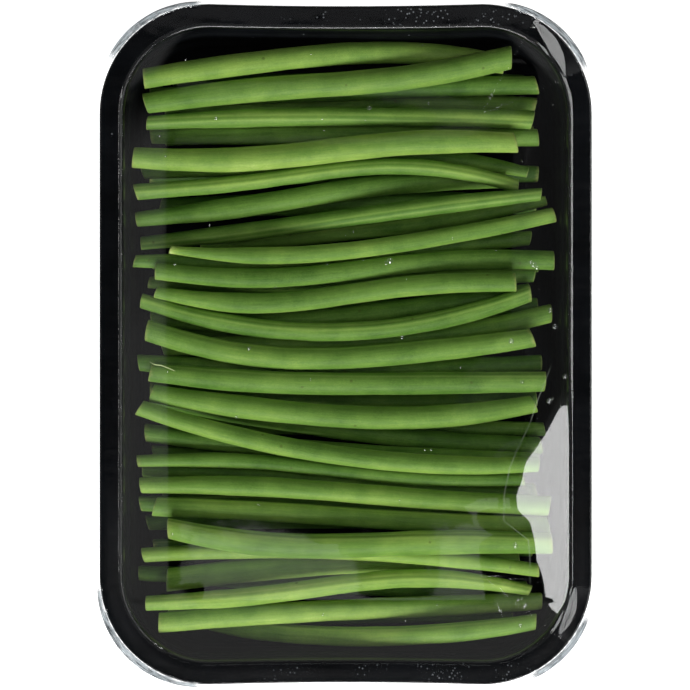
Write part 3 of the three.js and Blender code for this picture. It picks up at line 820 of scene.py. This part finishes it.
def makeFilm():
    x, y, inset = filmPlan()
    free = filmLift(x, y, inset)
    least = beanTops(x, y) + film["clearance"] - film["sealHeight"]
    inside = inset > tray["rimInner"]
    lift = free
    for _ in range(film["passes"]):
        # pushed up by the beans, and pulled smooth wherever it has been pushed
        lift = np.where(inside, np.maximum(lift, least), lift)
        near = (np.roll(lift, 1, 0) + np.roll(lift, -1, 0) + np.roll(lift, 1, 1) + np.roll(lift, -1, 1)) / 4
        lift = np.where(inside, np.maximum(free, lift + film["pull"] * (near - lift)), lift)
    lift = np.where(inside, np.maximum(lift, least), lift)
    print("film pushed up by", round(float((lift - free).max()), 2), "mm, over",
        round(float((lift > free + 0.01).mean()), 3), "of its area")
    over = np.clip(-inset / 2.0, 0, 1)
    lift = lift + over * (film["edgeWave"] * waves(x, y, 5, (3, 8)) - film["edgeDroop"])
    under = film["sealHeight"] + np.clip(lift, -0.6, 2.8)
    upper = np.stack([x, y, under + film["thickness"]], axis=-1).reshape(-1, 3)
    lower = np.stack([x, y, under], axis=-1).reshape(-1, 3)
    rows, columns = x.shape
    count = rows * columns
    faces = gridFaces(rows, columns, wrap=False)
    below = [[count + i for i in f[::-1]] for f in faces]
    index = np.arange(count).reshape(rows, columns)
    rim = np.concatenate([index[0, :-1], index[:-1, -1], index[-1, :0:-1], index[:0:-1, 0]])
    after = np.roll(rim, -1)
    edges = np.stack([rim, rim + count, after + count, after], axis=1).tolist()
    everyFace = faces + below + edges
    piece = makePiece("clearLid", np.vstack([upper, lower]), everyFace, [filmMaterial], "film")
    markFilm(piece, x, y, inset)
    return x, y, under + film["thickness"]


filmX, filmY, filmTop = makeFilm()
print("film made")


# ---- Drops on the film


drops = {
    # x, y and width in mm of the drops that show, some in clusters
    "seen": [
        (12.3, 23.2, 1.7), (11.2, 22.6, 1.1), (46, 0.9, 1.6), (49.1, -10.5, 1.2), (61, -8.9, 1.3),
        (56.6, -15.8, 1.5), (57.6, -15.2, 0.9), (58.2, 4.8, 1.4), (6.5, 65.7, 1.2), (-36, 62.9, 1.0),
        (-30.3, -20.2, 1.1), (15.7, 2.0, 1.2), (-26.9, -1.1, 1.0), (52.2, 22.1, 1.8), (53.2, 21.3, 1.2),
        (51.4, 22.9, 0.9), (56.9, 9.5, 1.5), (47.1, -55.8, 1.5), (49.8, -72.5, 1.4), (48.5, -78.1, 1.2),
        (47.9, -70.9, 0.9), (52.4, 88.5, 1.3)],
    # smaller ones besides: how many, and the ranges of their X, Y and width
    "scatter": 46, "scatterX": (-54, 60), "scatterY": (-82, 84), "scatterWidth": (0.35, 0.8),
    "around": 14, "rise": 5,
    "steepness": 0.26,  # height over width
    "topRing": 0.18, "sunk": 0.05,  # share of the width, and mm into the film
}


def makeDrops():
    # Each drop is a low dome: a circle whose height falls off as the square of the distance from its middle
    pick = np.random.default_rng(31)
    places = list(drops["seen"])
    for _ in range(drops["scatter"]):
        places.append([pick.uniform(*drops[span]) for span in ("scatterX", "scatterY", "scatterWidth")])
    turn = circle(drops["around"])
    out = np.linspace(1, drops["topRing"], drops["rise"])[:, None]
    points, faces, start = [], [], 0
    for cx, cy, wide in places:
        nearest = np.argmin((filmX - cx) ** 2 + (filmY - cy) ** 2)
        foot = filmTop.ravel()[nearest] - drops["sunk"]
        height = wide * drops["steepness"]
        px = cx + wide / 2 * out * np.cos(turn)
        py = cy + wide / 2 * out * np.sin(turn)
        pz = foot + height * (1 - out ** 2) + 0 * turn
        points += [np.stack([px, py, pz], axis=-1).reshape(-1, 3), [[cx, cy, foot + height], [cx, cy, foot]]]
        faces += [[start + i for i in f] for f in gridFaces(drops["rise"], drops["around"])]
        top = start + drops["rise"] * drops["around"]
        faces += fanFaces(top - drops["around"], drops["around"], top)
        faces += fanFaces(start, drops["around"], top + 1, flipped=True)
        start = top + 2
    makePiece("filmDrops", np.vstack(points), faces, [beadMaterial])


makeDrops()
print("drops made")


# ---- A loose fibre


looseFibre = {
    # X, Y and mm over the beans: a dry strand of a pod's string that lies across one bean
    "line": [
        (-54.9, -4.9, 0.2), (-53.4, -5.6, 0.5), (-51.5, -5.9, 0.35), (-49.6, -6.6, 0.5), (-47.6, -7.5, 0.15)],
    "width": 0.32, "steps": 26, "sides": 6,
}


def makeFibre():
    # A round strand carried along a smooth line, thinning towards both ends
    line = np.array(looseFibre["line"])
    for knot in line:
        near = np.hypot(beanPoints[:, 0] - knot[0], beanPoints[:, 1] - knot[1]) < 0.9
        knot[2] += beanPoints[near, 2].max()
    t = np.linspace(0, 1, looseFibre["steps"])
    middle = curveThrough(line, t)
    turn = circle(looseFibre["sides"])
    radius = (looseFibre["width"] / 2 * (1 - (2 * t - 1) ** 4) ** 0.5 + 0.02)[:, None]
    ring = np.stack([0 * turn * radius, radius * np.cos(turn), radius * np.sin(turn)], axis=-1)
    points = (middle[:, None, :] + ring).reshape(-1, 3)
    faces = gridFaces(*ring.shape[:2])
    piece = makePiece("looseFibre", points, faces, [fleshMaterial])
    addAttribute(piece, "podPlace", points * 0.001)
    addAttribute(piece, "podToneAndShade", np.ones(len(points)))
    addAttribute(piece, "podEnd", np.full(len(points), 0.5))


makeFibre()
print("fibre made")


# ---- Studio


studio = {
    # metres; the field is what the picture spans at the rim's height
    "cameraHeight": 0.925, "fieldWidth": 0.19194, "aim": (-0.0002, -0.0002),
    "sensorWidth": 36,  # mm
    "floorHalf": 2.5, "floorColour": "f4f4f4",
    "floorGlow": 0.95,  # the floor is a light table, so that the pack's shadow doesn't show
    "keyPlace": (-0.1, -1.29, 1.01), "keySize": (1.4, 0.7),
    "fillPlace": (0.1, 1.1, 1.1), "fillSize": (1.2, 0.7),
    "panelHeight": 1.225,
    "keyPower": 38.5, "fillPower": 1.0, "rightGlow": 6.0, "leftGlow": 3.5, "veilGlow": 0.5,
    # soft panels overhead, which the film mirrors as pale patches: X from, X to, Y from, Y to
    "rightPanel": (0.41, 0.65, -0.50, 0.58), "leftPanel": (-0.62, -0.55, -0.155, 0.32),
    "veilPanels": [
        (-0.105, 0.014, -0.20, -0.118), (0.058, 0.115, -0.20, -0.112), (0.014, 0.058, -0.20, -0.174)],
    "rimPanel": (-0.13, 0.135, 0.207, 0.235), "rimGlow": 0.10,
    "beltPanel": (0.19, 0.35, -0.12, 0.26), "beltGlow": 0.055,
    # the room by height of view: pale walls round the horizon, dim above them and black overhead, so that
    # the film stays clear from above and its slopes are veiled
    "room": [
        (0.0, "f4f4f4"), (0.15, "d8d8d8"), (0.33, "3c3c3c"), (0.88, "3c3c3c"), (0.915, "929292"),
        (0.958, "929292"), (0.976, "141414"), (1.0, "0a0a0a")],
    "roomGlow": 0.9,
}


def makeFloor():
    # Matt white card, lit from below
    mesh = bpy.data.meshes.new("paleFloor")
    r = studio["floorHalf"]
    mesh.from_pydata([(-r, -r, 0), (r, -r, 0), (r, r, 0), (-r, r, 0)], [], [(0, 1, 2, 3)])
    floor = bpy.data.objects.new("paleFloor", mesh)
    m = newMaterial("paleCard", studio["floorColour"])
    card = addNode(m, "BsdfPrincipled", {
        "Base Color": linearColour(studio["floorColour"]), "Roughness": 0.9,
        "Emission Color": (1, 1, 1, 1), "Emission Strength": studio["floorGlow"]})
    finish(m, card.outputs[0])
    mesh.materials.append(m)
    bpy.context.scene.collection.objects.link(floor)


def addPanel(name, place, size, power, aim=(0, 0, 0.02)):
    # a soft box: a rectangle of light facing the pack
    light = bpy.data.lights.new(name, "AREA")
    light.shape = "RECTANGLE"
    light.size, light.size_y = size
    light.energy = power
    lamp = bpy.data.objects.new(name, light)
    lamp.location = place
    way = np.array(aim) - np.array(place)
    way = way / np.linalg.norm(way)
    tilt = math.acos(-way[2])
    if tilt > 1e-4:  # a lamp faces straight down until it is turned
        lamp.rotation_euler = (tilt, 0, math.atan2(way[0], -way[1]) + math.pi)
    bpy.context.scene.collection.objects.link(lamp)


def addOverhead(name, span, glow):
    # a panel facing straight down, given by its span and its brightness
    x0, x1, y0, y1 = span
    x, y, wide, long = (x0 + x1) / 2, (y0 + y1) / 2, x1 - x0, y1 - y0
    addPanel(name, (x, y, studio["panelHeight"]), (wide, long), glow * math.pi * wide * long, (x, y, 0))


def makeLights():
    addPanel("keyBox", studio["keyPlace"], studio["keySize"], studio["keyPower"])
    addPanel("fillBox", studio["fillPlace"], studio["fillSize"], studio["fillPower"])
    addOverhead("rightBox", studio["rightPanel"], studio["rightGlow"])
    addOverhead("leftBox", studio["leftPanel"], studio["leftGlow"])
    for i, span in enumerate(studio["veilPanels"]):
        addOverhead("veilBox" + str(i), span, studio["veilGlow"])
    addOverhead("rimBox", studio["rimPanel"], studio["rimGlow"])
    addOverhead("beltBox", studio["beltPanel"], studio["beltGlow"])
    world = bpy.data.worlds.new("studioRoom")
    world.use_nodes = True
    world.node_tree.nodes.clear()
    split = addNode(world, "SeparateXYZ", {"Vector": addNode(world, "TexCoord").outputs["Generated"]})
    shade = addNode(world, "ValToRGB", {"Fac": split.outputs["Z"]}, stops=studio["room"])
    glow = addNode(world, "Background", {"Color": shade.outputs[0], "Strength": studio["roomGlow"]})
    addNode(world, "OutputWorld", {"Surface": glow.outputs[0]})
    bpy.context.scene.world = world


def makeCamera():
    data = bpy.data.cameras.new("overhead")
    data.sensor_width = studio["sensorWidth"]
    fromRim = studio["cameraHeight"] - tray["rimTop"] * 0.001
    data.lens = studio["sensorWidth"] * fromRim / studio["fieldWidth"]
    data.clip_start = 0.01
    camera = bpy.data.objects.new("overhead", data)
    camera.location = (*studio["aim"], studio["cameraHeight"])
    bpy.context.scene.collection.objects.link(camera)
    bpy.context.scene.camera = camera


makeFloor()
makeLights()
makeCamera()
bpy.context.scene.view_settings.view_transform = "Standard"
print("studio made")

bpy.context.view_layer.update()
